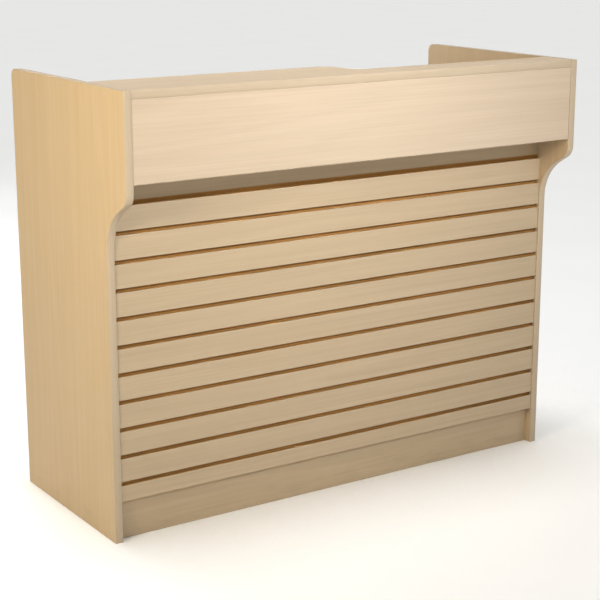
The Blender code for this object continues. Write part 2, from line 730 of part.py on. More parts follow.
def build_lock(drawer, plug_axis):
    """Cam lock: housing and nut on the drawer front, plug and cam on the lock's own axis."""
    centre = (DRAWER_MIDDLE_X, 0, LOCK_HEIGHT)
    housing = bmesh.new()
    profile = [
        (LOCK_BACK_Y, LOCK_RADIUS),
        (DRAWER_FACE_Y + GAP, LOCK_RADIUS),
        (DRAWER_FACE_Y + GAP, LOCK_FLANGE_RADIUS),
        (DRAWER_FACE_Y + 0.0012, LOCK_FLANGE_RADIUS),
        (DRAWER_FACE_Y + 0.0022, LOCK_FLANGE_RADIUS - 0.0012),
        (DRAWER_FACE_Y + 0.0022, LOCK_PLUG_BORE),
        (LOCK_BACK_Y, LOCK_PLUG_BORE),
    ]
    add_tube(housing, profile, 24, "Y", centre)
    origin = drawer.location
    smooth_round_faces(place("lock_housing", moved_to(housing, origin), origin, "nickel", drawer))
    nut = bmesh.new()
    near = DRAWER_FRONT_BACK_Y - GAP
    far = near - LOCK_NUT_THICKNESS
    # a six-sided ring whose flats clear the round housing
    inner = (LOCK_RADIUS + 2 * GAP) / math.cos(math.pi / 6)
    outer = inner + LOCK_NUT_WALL
    ring = [(far, outer), (near, outer), (near, inner), (far, inner)]
    add_tube(nut, ring, 6, "Y", centre)
    place("lock_nut", moved_to(nut, origin), origin, "zinc", drawer)

    plug = bmesh.new()
    plug_back = LOCK_BACK_Y - GAP
    plug_profile = [
        (plug_back - DRAWER_FACE_Y, LOCK_PLUG_RADIUS),
        (0.0016, LOCK_PLUG_RADIUS),
        (0.0022, LOCK_PLUG_RADIUS - 0.0006),
    ]
    add_turned(plug, plug_profile, 20, "Y", (0, 0, 0))
    turning = place("lock_plug", plug, plug_axis.location, "nickel", plug_axis)
    keyway = bmesh.new()
    bmesh.ops.create_cube(keyway, size=1.0)
    bmesh.ops.scale(keyway, vec=(0.0014, 0.010, 0.0070), verts=keyway.verts[:])
    bmesh.ops.translate(keyway, vec=plug_axis.location, verts=keyway.verts[:])
    cut(turning, "keyway", keyway)
    smooth_round_faces(turning)

    cam_face = plug_back - GAP - DRAWER_FACE_Y
    tip = CAM_REACH - CAM_HALF_WIDTH
    outline = arc((0, 0), CAM_HALF_WIDTH, 90, 270, 8) + arc((tip, 0), CAM_HALF_WIDTH, -90, 90, 8)
    cam = extruded(outline, "Y", cam_face - CAM_THICKNESS, cam_face)
    place("lock_cam", cam, plug_axis.location, "zinc", plug_axis)
    screw = bmesh.new()
    head = cam_face - CAM_THICKNESS - GAP
    add_turned(screw, [(head, 0.0035), (head - 0.0012, 0.0035), (head - 0.0020, 0.0022)], 12, "Y", (0, 0, 0))
    smooth_round_faces(place("cam_screw", screw, plug_axis.location, "zinc", plug_axis))


def build_strike():
    """Steel angle under the worktop that the raised cam catches behind."""
    top = WORKTOP_UNDERSIDE - GAP
    leg_y = LOCK_BACK_Y + 0.0065
    outline = [
        (leg_y, top),
        (leg_y, top - 0.0098),
        (leg_y + 0.0012, top - 0.0098),
        (leg_y + 0.0012, top - 0.0012),
        (leg_y + 0.0200, top - 0.0012),
        (leg_y + 0.0200, top),
    ]
    low_x = DRAWER_MIDDLE_X - 0.020
    place("lock_strike", extruded(outline, "X", 0, 0.040), (low_x, 0, 0), "zinc")


def main():
    clear_scene()
    drawer = joint_origin("drawer_travel", (DRAWER_MIDDLE_X, DRAWER_FACE_Y, SLIDE_HEIGHT))
    middle = joint_origin("slide_travel", (DRAWER_MIDDLE_X, SLIDE_START_Y, SLIDE_HEIGHT))
    plug_axis = joint_origin("lock_axis", (DRAWER_MIDDLE_X, DRAWER_FACE_Y, LOCK_HEIGHT))
    build_end_panels()
    build_front()
    build_ledge()
    build_worktop()
    build_carcass()
    build_shelf("left", -INNER_X, -DIVIDER_X)
    build_shelf("right", DIVIDER_X, INNER_X)
    build_brackets()
    build_grommet()
    build_slides(drawer, middle)
    box_front = build_drawer_box(drawer)
    build_drawer_front(drawer, box_front)
    build_pull(drawer)
    build_lock(drawer, plug_axis)
    build_strike()


main()
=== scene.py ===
import json
import math
import random

import bmesh
import bpy
from mathutils import Matrix, Vector


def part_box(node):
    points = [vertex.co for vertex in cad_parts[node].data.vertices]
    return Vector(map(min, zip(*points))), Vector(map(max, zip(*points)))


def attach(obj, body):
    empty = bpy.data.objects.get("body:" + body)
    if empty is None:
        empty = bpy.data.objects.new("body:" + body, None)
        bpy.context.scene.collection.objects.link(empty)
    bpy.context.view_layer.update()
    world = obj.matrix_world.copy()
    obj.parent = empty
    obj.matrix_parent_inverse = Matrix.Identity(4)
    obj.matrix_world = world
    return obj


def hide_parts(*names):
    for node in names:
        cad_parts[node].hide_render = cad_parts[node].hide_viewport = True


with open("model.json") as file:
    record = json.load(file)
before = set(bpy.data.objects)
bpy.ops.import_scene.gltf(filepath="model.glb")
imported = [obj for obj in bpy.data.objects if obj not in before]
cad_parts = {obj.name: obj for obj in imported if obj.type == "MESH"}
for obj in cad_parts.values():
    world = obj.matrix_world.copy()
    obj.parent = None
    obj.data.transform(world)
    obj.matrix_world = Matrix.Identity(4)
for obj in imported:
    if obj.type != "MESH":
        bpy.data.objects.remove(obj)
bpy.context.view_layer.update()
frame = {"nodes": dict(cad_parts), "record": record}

print("counter: frame loaded")

bodyOfNode = {}
for bodyName, members in frame["record"]["behaviour"]["bodies"].items():
    for member in members:
        bodyOfNode[member] = bodyName

hairGap = 0.0003  # the solids keep this much air where real boards touch
plainTint = (1.0, 1.0, 1.0)
usualSpan = (0.3, 0.7)  # a noise texture's values mostly lie between these
grainTurns = {  # turns a board's grain direction onto the pattern's own X axis
    "X": (0.0, 0.0, 0.0),
    "Y": (0.0, 0.0, math.radians(-90)),
    "Z": (0.0, math.radians(90), 0.0),
}


def put(tree, kind, inputs=None, **settings):
    item = tree.nodes.new(kind)
    for key, value in settings.items():
        setattr(item, key, value)
    for key, value in (inputs or {}).items():
        item.inputs[key].default_value = value
    return item


# a node whose first input is fed by another's output
def fed(tree, kind, source, inputs=None, **settings):
    item = put(tree, kind, inputs, **settings)
    tree.links.new(source, item.inputs[0])
    return item


def mixColour(tree, factor, first, second, blend="MIX"):
    mix = put(tree, "ShaderNodeMix", data_type="RGBA", blend_type=blend)
    for socket, value in ((0, factor), (6, first), (7, second)):
        if isinstance(value, bpy.types.NodeSocket):
            tree.links.new(value, mix.inputs[socket])
        elif socket == 0:
            mix.inputs[0].default_value = value
        else:
            mix.inputs[socket].default_value = (*value, 1.0)
    return mix.outputs[2]


def ramp(tree, source, stops):
    item = fed(tree, "ShaderNodeValToRGB", source)
    elements = item.color_ramp.elements
    while len(elements) < len(stops):
        elements.new(0.5)
    for element, (place, colour) in zip(elements, stops):
        element.position = place
        element.color = (*colour, 1.0)
    return item.outputs[0]


def spread(tree, source, fromLow, fromHigh, toLow, toHigh):
    span = {1: fromLow, 2: fromHigh, 3: toLow, 4: toHigh}
    return fed(tree, "ShaderNodeMapRange", source, span).outputs[0]


def maths(tree, operation, first, second=0.0):
    item = put(tree, "ShaderNodeMath", operation=operation)
    for socket, value in ((0, first), (1, second)):
        if isinstance(value, bpy.types.NodeSocket):
            tree.links.new(value, item.inputs[socket])
        else:
            item.inputs[socket].default_value = value
    return item.outputs[0]


def stretched(tree, vector, scale):
    return fed(tree, "ShaderNodeMapping", vector, {"Scale": scale}).outputs[0]


def noise(tree, vector, scale=1.0, detail=3.0, rough=0.5, distortion=0.0):
    inputs = {"Scale": scale, "Detail": detail, "Roughness": rough, "Distortion": distortion}
    item = put(tree, "ShaderNodeTexNoise", inputs)
    tree.links.new(vector, item.inputs["Vector"])
    return item.outputs[0]


def bump(tree, shader, height, distance, strength=1.0):
    item = put(tree, "ShaderNodeBump", {"Strength": strength, "Distance": distance})
    tree.links.new(height, item.inputs["Height"])
    tree.links.new(item.outputs[0], shader.inputs["Normal"])


def objectCoords(tree):
    return put(tree, "ShaderNodeTexCoord").outputs["Object"]


# colour, and roughness that wanders between two values with the mask
def coat(tree, shader, colour, mask, gloss):
    tree.links.new(colour, shader.inputs["Base Color"])
    tree.links.new(spread(tree, mask, *usualSpan, *gloss), shader.inputs["Roughness"])


def newMaterial(name):
    material = bpy.data.materials.new(name)
    material.use_nodes = True
    tree = material.node_tree
    return material, tree, tree.nodes["Principled BSDF"]


mapleLook = {
    "pale": (0.500, 0.386, 0.262),
    "deep": (0.466, 0.353, 0.234),
    "streaks": (2.2, 210.0, 210.0),  # turns of the pattern in a metre, along and across the grain
    "streakStops": (0.30, 0.62),
    "figure": (0.5, 6.0, 6.0),
    "bandCount": 16.0,  # bands drawn out of one turn of the figure
    "bandTone": (0.965, 1.015),
    "fleck": (0.370, 0.260, 0.155),
    "pores": (26.0, 1300.0, 1300.0),
    "poreStops": (0.62, 0.74),
    "fleckAmount": 0.22,
    "scuff": (0.235, 0.175, 0.115),
    "scuffHeight": 0.085,  # shoes and mops reach this high
    "scuffMarks": (9.0, 9.0, 45.0),
    "scuffStops": (0.52, 0.72),
    "scuffAmount": 0.30,
    "smears": 9.0,
    "gloss": (0.46, 0.56),  # roughness where wiped and where handled
    "shine": 0.45,
    "relief": 0.00006,
    "reliefStrength": 0.35,
}


# maple print under a satin melamine skin
def mapleLaminate(grain, seed, tint=plainTint):
    look = mapleLook
    material, tree, shader = newMaterial("mapleLaminate" + grain + str(seed))
    place = random.Random(seed)
    offset = [place.uniform(-4, 4) for axis in range(3)]  # every board shows its own part of the print
    coords = objectCoords(tree)
    placing = {"Location": offset, "Rotation": grainTurns[grain]}
    base = fed(tree, "ShaderNodeMapping", coords, placing).outputs[0]
    streaks = noise(tree, stretched(tree, base, look["streaks"]), 1.0, 5.0, 0.62)
    figure = noise(tree, stretched(tree, base, look["figure"]), 1.0, 3.0, 0.5, 0.6)
    bands = maths(tree, "PINGPONG", maths(tree, "MULTIPLY", figure, look["bandCount"]), 1.0)
    pores = noise(tree, stretched(tree, base, look["pores"]), 1.0, 2.0, 0.5)
    first, last = look["streakStops"]
    colour = ramp(tree, streaks, ((first, look["deep"]), (last, look["pale"])))
    bandTone = spread(tree, bands, 0.0, 1.0, *look["bandTone"])
    colour = mixColour(tree, 1.0, colour, bandTone, "MULTIPLY")
    fleckMask = spread(tree, pores, *look["poreStops"], 0.0, look["fleckAmount"])
    colour = mixColour(tree, fleckMask, colour, look["fleck"])
    # the tint multiplied in here is painted light and shade for the board, not its print
    colour = mixColour(tree, 1.0, colour, tint, "MULTIPLY")
    height = fed(tree, "ShaderNodeSeparateXYZ", coords)
    nearFloor = spread(tree, height.outputs["Z"], 0.0, look["scuffHeight"], 1.0, 0.0)
    marks = noise(tree, stretched(tree, coords, look["scuffMarks"]), 1.0, 4.0, 0.65)
    marks = spread(tree, marks, *look["scuffStops"], 0.0, look["scuffAmount"])
    colour = mixColour(tree, maths(tree, "MULTIPLY", nearFloor, marks), colour, look["scuff"])
    smears = noise(tree, coords, look["smears"], 3.0, 0.6)
    coat(tree, shader, colour, smears, look["gloss"])
    shader.inputs["Specular IOR Level"].default_value = look["shine"]
    bump(tree, shader, maths(tree, "ADD", pores, streaks), look["relief"], look["reliefStrength"])
    return material


# both tones sit a little darker than the boards' print: partly the tape's own tone, partly painted shade
# for edges that turn away from the lamps
tapeLook = {
    "pale": (0.460, 0.362, 0.250),
    "deep": (0.425, 0.325, 0.215),
    "streaks": (3.0, 230.0, 1.0),
    "streakStops": (0.30, 0.66),
    "smears": 14.0,
    "gloss": (0.46, 0.56),
    "relief": 0.00005,
    "reliefStrength": 0.3,
}


# edge tape: a plainer maple, its grain along the tape's own run
def mapleTape():
    if "mapleTape" in bpy.data.materials:
        return bpy.data.materials["mapleTape"]
    look = tapeLook
    material, tree, shader = newMaterial("mapleTape")
    coords = objectCoords(tree)
    run = put(tree, "ShaderNodeAttribute", attribute_name="tapeRun").outputs["Fac"]
    across = put(tree, "ShaderNodeAttribute", attribute_name="tapeAcross").outputs["Fac"]
    joined = put(tree, "ShaderNodeCombineXYZ")
    tree.links.new(run, joined.inputs[0])
    tree.links.new(across, joined.inputs[1])
    streaks = noise(tree, stretched(tree, joined.outputs[0], look["streaks"]), 1.0, 4.0, 0.6)
    first, last = look["streakStops"]
    colour = ramp(tree, streaks, ((first, look["deep"]), (last, look["pale"])))
    smears = noise(tree, coords, look["smears"], 3.0, 0.6)
    coat(tree, shader, colour, smears, look["gloss"])
    bump(tree, shader, streaks, look["relief"], look["reliefStrength"])
    return material


rawLook = {
    "pale": (0.520, 0.270, 0.078),
    "deep": (0.340, 0.158, 0.042),
    "fibre": 900.0,
    "fibreStops": (0.32, 0.66),
    "burns": (3.0, 1.0, 12.0),
    "burnTone": (0.82, 1.12),
    "roughness": 0.82,
    "shine": 0.2,
    "relief": 0.0002,
    "reliefStrength": 0.6,
}


# routed board: golden brown fibres, rough, a little burnt by the cutter
def rawBoard():
    if "rawBoard" in bpy.data.materials:
        return bpy.data.materials["rawBoard"]
    look = rawLook
    material, tree, shader = newMaterial("rawBoard")
    coords = objectCoords(tree)
    fibres = noise(tree, stretched(tree, coords, (0.35, 1.0, 1.0)), look["fibre"], 3.0, 0.7)
    burns = noise(tree, stretched(tree, coords, look["burns"]), 1.0, 3.0, 0.6)
    first, last = look["fibreStops"]
    colour = ramp(tree, fibres, ((first, look["deep"]), (last, look["pale"])))
    burnTone = spread(tree, burns, *usualSpan, *look["burnTone"])
    colour = mixColour(tree, 1.0, colour, burnTone, "MULTIPLY")
    tree.links.new(colour, shader.inputs["Base Color"])
    shader.inputs["Roughness"].default_value = look["roughness"]
    shader.inputs["Specular IOR Level"].default_value = look["shine"]
    bump(tree, shader, fibres, look["relief"], look["reliefStrength"])
    return material


plyLook = {
    "face": (0.760, 0.590, 0.395),
    "faceDeep": (0.640, 0.455, 0.270),
    "figure": (3.0, 60.0, 60.0),
    "glue": (0.330, 0.205, 0.110),
    "ply": 0.0018,  # thickness of one layer
    "gloss": (0.42, 0.55),
}


# birch plywood: veneer on the faces, stacked plies on edges that look up or along the stack
def drawerPly(grain, stack):
    name = "drawerPly" + grain + stack
    if name in bpy.data.materials:
        return bpy.data.materials[name]
    look = plyLook
    material, tree, shader = newMaterial(name)
    coords = objectCoords(tree)
    turned = fed(tree, "ShaderNodeMapping", coords, {"Rotation": grainTurns[grain]})
    figure = noise(tree, stretched(tree, turned.outputs[0], look["figure"]), 1.0, 4.0, 0.6, 0.3)
    veneer = ramp(tree, figure, ((0.30, look["faceDeep"]), (0.66, look["face"])))
    split = fed(tree, "ShaderNodeSeparateXYZ", coords)
    layers = maths(tree, "MULTIPLY", split.outputs["XYZ".index(stack)], 1 / look["ply"])
    layers = maths(tree, "PINGPONG", layers, 1.0)
    plies = ramp(tree, layers, ((0.12, look["glue"]), (0.40, look["face"])))
    geometry = put(tree, "ShaderNodeNewGeometry")
    facing = fed(tree, "ShaderNodeSeparateXYZ", geometry.outputs["Normal"])
    straight = maths(tree, "ABSOLUTE", facing.outputs["XYZ".index(stack)])
    onEdge = maths(tree, "LESS_THAN", straight, 0.6)
    colour = mixColour(tree, onEdge, veneer, plies)
    coat(tree, shader, colour, figure, look["gloss"])
    bump(tree, shader, figure, 0.00008, 0.3)
    return material


battenLook = {
    "late": (0.46, 0.27, 0.12),
    "early": (0.72, 0.53, 0.31),
    "rings": (1.5, 130.0, 130.0),
    "gloss": (0.62, 0.78),
}


def softwood():
    if "softwood" in bpy.data.materials:
        return bpy.data.materials["softwood"]
    look = battenLook
    material, tree, shader = newMaterial("softwood")
    coords = objectCoords(tree)
    rings = noise(tree, stretched(tree, coords, look["rings"]), 1.0, 3.0, 0.5, 0.4)
    colour = ramp(tree, rings, ((0.36, look["late"]), (0.60, look["early"])))
    coat(tree, shader, colour, rings, look["gloss"])
    bump(tree, shader, rings, 0.0002, 0.4)
    return material


metalLooks = {
    "zincSteel": {
        "pale": (0.66, 0.67, 0.68),
        "deep": (0.55, 0.56, 0.55),
        "gloss": (0.28, 0.40),
        "cloud": 160.0,
    },
    "satinNickel": {
        "pale": (0.66, 0.64, 0.60),
        "deep": (0.61, 0.59, 0.55),
        "gloss": (0.27, 0.32),
        "cloud": 90.0,
    },
}
brushing = (60.0, 2600.0, 2600.0)


def metal(name):
    if name in bpy.data.materials:
        return bpy.data.materials[name]
    look = metalLooks[name]
    material, tree, shader = newMaterial(name)
    coords = objectCoords(tree)
    cloud = noise(tree, coords, look["cloud"], 4.0, 0.6)
    brushed = noise(tree, stretched(tree, coords, brushing), 1.0, 2.0, 0.5)
    colour = ramp(tree, cloud, ((0.32, look["deep"]), (0.68, look["pale"])))
    shader.inputs["Metallic"].default_value = 1.0
    coat(tree, shader, colour, cloud, look["gloss"])
    bump(tree, shader, brushed, 0.00001, 0.2)
    return material


plasticLook = {
    "black": (0.018, 0.018, 0.019),
    "dusty": (0.045, 0.044, 0.042),
    "dust": 45.0,
    "moulding": 1400.0,
    "gloss": (0.40, 0.55),
}


def blackPlastic():
    if "blackPlastic" in bpy.data.materials:
        return bpy.data.materials["blackPlastic"]
    look = plasticLook
    material, tree, shader = newMaterial("blackPlastic")
    coords = objectCoords(tree)
    grainy = noise(tree, coords, look["moulding"], 2.0, 0.5)
    dust = noise(tree, coords, look["dust"], 3.0, 0.6)
    colour = ramp(tree, dust, ((0.40, look["black"]), (0.75, look["dusty"])))
    coat(tree, shader, colour, dust, look["gloss"])
    bump(tree, shader, grainy, 0.00008, 0.5)
    return material


# an object from a mesh, lamp or camera, put in the scene
def placed(name, data):
    item = bpy.data.objects.new(name, data)
    bpy.context.scene.collection.objects.link(item)
    return item


def newObject(name, bm, materials):
    bmesh.ops.recalc_face_normals(bm, faces=bm.faces[:])
    mesh = bpy.data.meshes.new(name)
    bm.to_mesh(mesh)
    bm.free()
    item = placed(name, mesh)
    for material in materials:
        mesh.materials.append(material)
    return item


# the object with its modifiers made part of a plain mesh
def settled(item):
    bpy.context.view_layer.update()
    graph = bpy.context.evaluated_depsgraph_get()
    mesh = bpy.data.meshes.new_from_object(item.evaluated_get(graph))
    old = item.data
    item.modifiers.clear()
    if item.type == "MESH":
        item.data = mesh
        bpy.data.meshes.remove(old)
    return item


def softShade(item, degrees=35.0):
    item.data.shade_smooth()
    item.data.set_sharp_from_angle(angle=math.radians(degrees))


# ride on the node's body, and stand for the nodes named
def mount(item, node, replaced=()):
    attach(item, bodyOfNode[node])
    if replaced:
        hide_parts(*replaced)
    return item


mergeDistance = 0.00001
flatAngle = 0.5  # degrees, below which neighbouring facets become one face


# a merged, smoothly shaded copy of a CAD node that stands for it
def refined(node, name, material, degrees=35.0):
    bm = bmesh.new()
    bm.from_mesh(frame["nodes"][node].data)
    bmesh.ops.remove_doubles(bm, verts=bm.verts[:], dist=mergeDistance)
    limit = math.radians(flatAngle)
    bmesh.ops.dissolve_limit(bm, angle_limit=limit, verts=bm.verts[:], edges=bm.edges[:])
    item = newObject(name, bm, [material])
    softShade(item, degrees)
    return mount(item, node, [node])


# an object that holds only a chain of edges, the input of a path tree
def polyline(name, points):
    mesh = bpy.data.meshes.new(name)
    chain = [(number, number + 1) for number in range(len(points) - 1)]
    mesh.from_pydata([Vector(point) for point in points], chain, [])
    return placed(name, mesh)


def arc(centre, radius, start, end, steps):
    points = []
    for step in range(steps + 1):
        angle = math.radians(start + (end - start) * step / steps)
        points.append((centre[0] + radius * math.cos(angle), centre[1] + radius * math.sin(angle)))
    return points


# a solid from an outline; its pairs are the other two axes in X, Y, Z order
def pushedOutline(outline, axis, start, end):
    bm = bmesh.new()
    corners = []
    for pair in outline:
        spot = list(pair)
        spot.insert("XYZ".index(axis), start)
        corners.append(bm.verts.new(spot))
    face = bm.faces.new(corners)
    grown = bmesh.ops.extrude_face_region(bm, geom=[face])
    moved = [piece for piece in grown["geom"] if isinstance(piece, bmesh.types.BMVert)]
    push = Vector([end - start if axis == letter else 0.0 for letter in "XYZ"])
    bmesh.ops.translate(bm, vec=push, verts=moved)
    return bm


drillSides = 16
barTurns = {  # a bar is made upright, then laid along its axis
    "X": Matrix.Rotation(math.radians(90), 4, "Y"),
    "Y": Matrix.Rotation(math.radians(90), 4, "X"),
    "Z": Matrix.Identity(4),
}


def roundBar(bm, axis, centre, radius, low, high):
    place = Vector(centre)
    place["XYZ".index(axis)] = (low + high) / 2
    matrix = Matrix.Translation(place) @ barTurns[axis]
    sizes = {"radius1": radius, "radius2": radius, "depth": high - low}
    bmesh.ops.create_cone(bm, cap_ends=True, segments=drillSides, matrix=matrix, **sizes)


# cut one object out of another; the cutter's own parts may cross each other
def carved(item, cutter, crossing=False):
    cut = item.modifiers.new("carve", "BOOLEAN")
    cut.operation = "DIFFERENCE"
    cut.solver = "EXACT"
    cut.use_self = crossing
    cut.object = cutter
    settled(item)
    bpy.data.objects.remove(cutter)
    return item


# cut round holes: bars is a list of (axis, centre, radius, low, high)
def drilled(item, bars):
    bm = bmesh.new()
    for axis, centre, radius, low, high in bars:
        roundBar(bm, axis, centre, radius, low, high)
    return carved(item, newObject(item.name + "Drill", bm, []))


def easeEdges(item, width):
    bevel = item.modifiers.new("ease", "BEVEL")
    bevel.width = width
    bevel.segments = 1
    bevel.limit_method = "ANGLE"
    bevel.angle_limit = math.radians(40)
    return settled(item)


# a geometry tree with named inputs; returns it, its input node and the socket identifiers
def startTree(name, sockets):
    tree = bpy.data.node_groups.new(name, "GeometryNodeTree")
    tree.interface.new_socket("Geometry", in_out="INPUT", socket_type="NodeSocketGeometry")
    tree.interface.new_socket("Geometry", in_out="OUTPUT", socket_type="NodeSocketGeometry")
    identifiers = {}
    for label, kind in sockets:
        made = tree.interface.new_socket(label, in_out="INPUT", socket_type="NodeSocket" + kind)
        identifiers[label] = made.identifier
    return tree, put(tree, "NodeGroupInput"), identifiers


# every tree ends in Realize Instances and Set Material
def endTree(tree, geometry, materialSocket):
    real = put(tree, "GeometryNodeRealizeInstances")
    painted = put(tree, "GeometryNodeSetMaterial")
    out = put(tree, "NodeGroupOutput")
    tree.links.new(geometry, real.inputs[0])
    tree.links.new(real.outputs[0], painted.inputs["Geometry"])
    tree.links.new(materialSocket, painted.inputs["Material"])
    tree.links.new(painted.outputs[0], out.inputs[0])


# run a tree on an object and keep the result as a plain mesh
def grow(item, made, values):
    tree, identifiers = made
    modifier = item.modifiers.new(tree.name, "NODES")
    modifier.node_group = tree
    for label, value in values.items():
        modifier[identifiers[label]] = value
    settled(item)
    return item


def storedNumber(tree, name):
    settings = {"data_type": "FLOAT", "domain": "POINT"}
    return put(tree, "GeometryNodeStoreNamedAttribute", {"Name": name}, **settings)


# edge tape: a flat strip with eased corners that follows the edge of a board
def tapeTree():
    sockets = [("Width", "Float"), ("Thickness", "Float"), ("Rounding", "Float")]
    sockets += [("Across", "Vector"), ("Finish", "Material")]
    tree, given, identifiers = startTree("edgeTape", sockets)
    path = put(tree, "GeometryNodeMeshToCurve")
    upright = put(tree, "GeometryNodeSetCurveNormal", mode="FREE")
    run = put(tree, "GeometryNodeSplineParameter")
    keepRun = storedNumber(tree, "tapeRun")
    section = put(tree, "GeometryNodeCurvePrimitiveQuadrilateral")
    eased = put(tree, "GeometryNodeFilletCurve", mode="POLY")
    eased.inputs["Count"].default_value = 2
    spot = put(tree, "GeometryNodeInputPosition")
    acrossPart = put(tree, "ShaderNodeSeparateXYZ")
    keepAcross = storedNumber(tree, "tapeAcross")
    swept = put(tree, "GeometryNodeCurveToMesh", {"Fill Caps": True})
    link = tree.links.new
    link(given.outputs["Geometry"], path.inputs[0])
    link(path.outputs[0], upright.inputs["Curve"])
    link(given.outputs["Across"], upright.inputs["Normal"])
    link(upright.outputs[0], keepRun.inputs["Geometry"])
    link(run.outputs["Length"], keepRun.inputs["Value"])
    link(given.outputs["Width"], section.inputs["Width"])
    link(given.outputs["Thickness"], section.inputs["Height"])
    link(section.outputs[0], eased.inputs["Curve"])
    link(given.outputs["Rounding"], eased.inputs["Radius"])
    link(keepRun.outputs[0], swept.inputs["Curve"])
    link(spot.outputs[0], acrossPart.inputs[0])
    link(eased.outputs[0], keepAcross.inputs["Geometry"])
    link(acrossPart.outputs["X"], keepAcross.inputs["Value"])
    link(keepAcross.outputs[0], swept.inputs["Profile Curve"])
    endTree(tree, swept.outputs[0], given.outputs["Finish"])
    return tree, identifiers


# a round rod that follows a path
def rodTree():
    sockets = [("Radius", "Float"), ("Sides", "Int"), ("Finish", "Material")]
    tree, given, identifiers = startTree("roundRod", sockets)
    path = put(tree, "GeometryNodeMeshToCurve")
    section = put(tree, "GeometryNodeCurvePrimitiveCircle")
    swept = put(tree, "GeometryNodeCurveToMesh", {"Fill Caps": True})
    link = tree.links.new
    link(given.outputs["Geometry"], path.inputs[0])
    link(given.outputs["Radius"], section.inputs["Radius"])
    link(given.outputs["Sides"], section.inputs["Resolution"])
    link(path.outputs[0], swept.inputs["Curve"])
    link(section.outputs[0], swept.inputs["Profile Curve"])
    endTree(tree, swept.outputs[0], given.outputs["Finish"])
    return tree, identifiers


# one fastener on every point, standing along the point's facing, spun by a fixed seed
def fastenerTree():
    sockets = [("Fastener", "Object"), ("Seed", "Int"), ("Finish", "Material")]
    tree, given, identifiers = startTree("fastenersOnPoints", sockets)
    source = put(tree, "GeometryNodeObjectInfo")
    facing = put(tree, "GeometryNodeInputNamedAttribute", {"Name": "facing"}, data_type="FLOAT_VECTOR")
    stand = put(tree, "FunctionNodeAlignRotationToVector", axis="Z")
    anyTurn = put(tree, "FunctionNodeRandomValue", data_type="FLOAT")
    anyTurn.inputs[2].default_value = 0.0
    anyTurn.inputs[3].default_value = math.pi
    spin = put(tree, "FunctionNodeAxisAngleToRotation", {"Axis": (0.0, 0.0, 1.0)})
    turned = put(tree, "FunctionNodeRotateRotation", rotation_space="LOCAL")
    copies = put(tree, "GeometryNodeInstanceOnPoints")
    link = tree.links.new
    link(given.outputs["Fastener"], source.inputs["Object"])
    link(facing.outputs["Attribute"], stand.inputs["Vector"])
    link(given.outputs["Seed"], anyTurn.inputs["Seed"])
    link(anyTurn.outputs[1], spin.inputs["Angle"])
    link(stand.outputs[0], turned.inputs[0])
    link(spin.outputs[0], turned.inputs[1])
    link(given.outputs["Geometry"], copies.inputs["Points"])
    link(source.outputs["Geometry"], copies.inputs["Instance"])
    link(turned.outputs[0], copies.inputs["Rotation"])
    endTree(tree, copies.outputs[0], given.outputs["Finish"])
    return tree, identifiers


seamDistance = 0.00002  # ends of outlines nearer than this are one point
faceSkin = 0.0004  # the face itself, with the rounding of a groove's lip
backSkin = 0.0002


